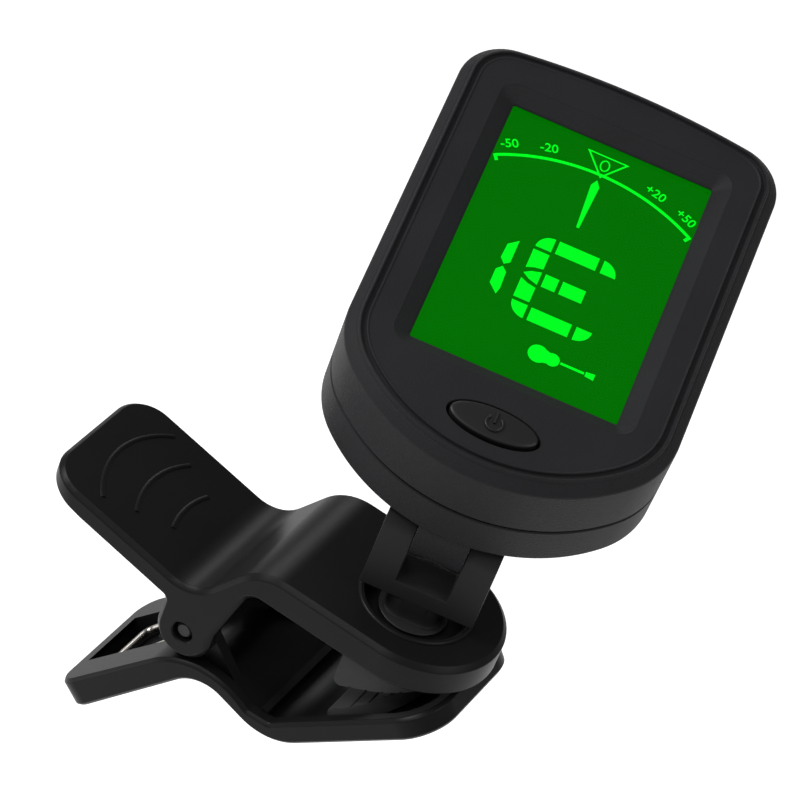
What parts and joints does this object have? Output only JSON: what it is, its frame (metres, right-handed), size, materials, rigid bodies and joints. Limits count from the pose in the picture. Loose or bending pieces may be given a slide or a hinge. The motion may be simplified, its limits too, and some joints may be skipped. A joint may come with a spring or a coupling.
{
  "type": "clip-on instrument tuner",
  "caption": "Sprung clip with a U-shaped swivelling and tilting fork that carries a flat rounded head with a display window and an oval button.",
  "frame": {"origin": "where the swivel axis meets the upper jaw pad's gripping face", "axes": "+Z along the swivel axis away from the jaw, +X along the clip towards the jaw's tip, Y along the clip's width"},
  "size_m": [0.0599, 0.0609, 0.0777],
  "materials": {
    "casing": "fine matte texture",
    "clip": "semi-gloss",
    "fork": "satin",
    "button": "satin",
    "window": "clear polished",
    "display": "smooth, green lit",
    "backlight": "translucent",
    "rubber": "matte",
    "steel": "plain",
    "board": "solder mask",
    "brass": "plain",
    "chip": "moulded"
  },
  "bodies": {
    "upper_clip": {"upper_lever": "clip", "pivot_pin": "steel", "clip_spring": "steel", "upper_jaw_pad": "rubber"},
    "lower_clip": {"lower_lever": "clip", "lower_jaw_pad": "rubber"},
    "swivel": {"swivel_fork": "fork", "swivel_screw": "steel", "swivel_washer": "steel", "hinge_pin": "steel"},
    "head": {"front_shell": "casing", "rear_shell": "casing", "display_window": "window", "display_panel": "display", "display_backlight": "backlight", "zebra_strip": "rubber", "circuit_board": "board", "controller_chip": "chip", "tact_switch": "steel", "piezo_disc": "brass", "coin_cell": "steel", "battery_contact_negative": "steel", "battery_contact_positive": "steel", "shell_screw_1": "steel", "shell_screw_2": "steel", "shell_screw_3": "steel", "shell_screw_4": "steel"},
    "button": {"power_button": "button"},
    "door": {"battery_door": "casing"}
  },
  "joints": [
    {"name": "clip_open", "type": "hinge", "parent": "upper_clip", "child": "lower_clip", "pos_m": [-0.0208, 0, -0.006], "axis": [0, 1, 0], "range_deg": [0, 38], "stiffness_Nm_per_rad": 0.25, "springref_deg": -20.05, "deforming": ["clip_spring"]},
    {"name": "swivel", "type": "hinge", "parent": "upper_clip", "child": "swivel", "pos_m": [0, 0, 0], "axis": [0, 0, 1], "continuous": true},
    {"name": "head_tilt", "type": "hinge", "parent": "swivel", "child": "head", "pos_m": [0, 0, 0.0184], "axis": [0.9668, 0.2554, 0], "range_deg": [-30, 80]},
    {"name": "button_press", "type": "slide", "parent": "head", "child": "button", "axis": [-0.0751, 0.2843, -0.9558], "range_m": [0, 0.0004], "stiffness_N_per_m": 1500, "springref_m": -0.0004},
    {"name": "door_lift", "type": "slide", "parent": "head", "child": "door", "axis": [-0.0751, 0.2843, -0.9558], "range_m": [0, 0.015]}
  ]
}
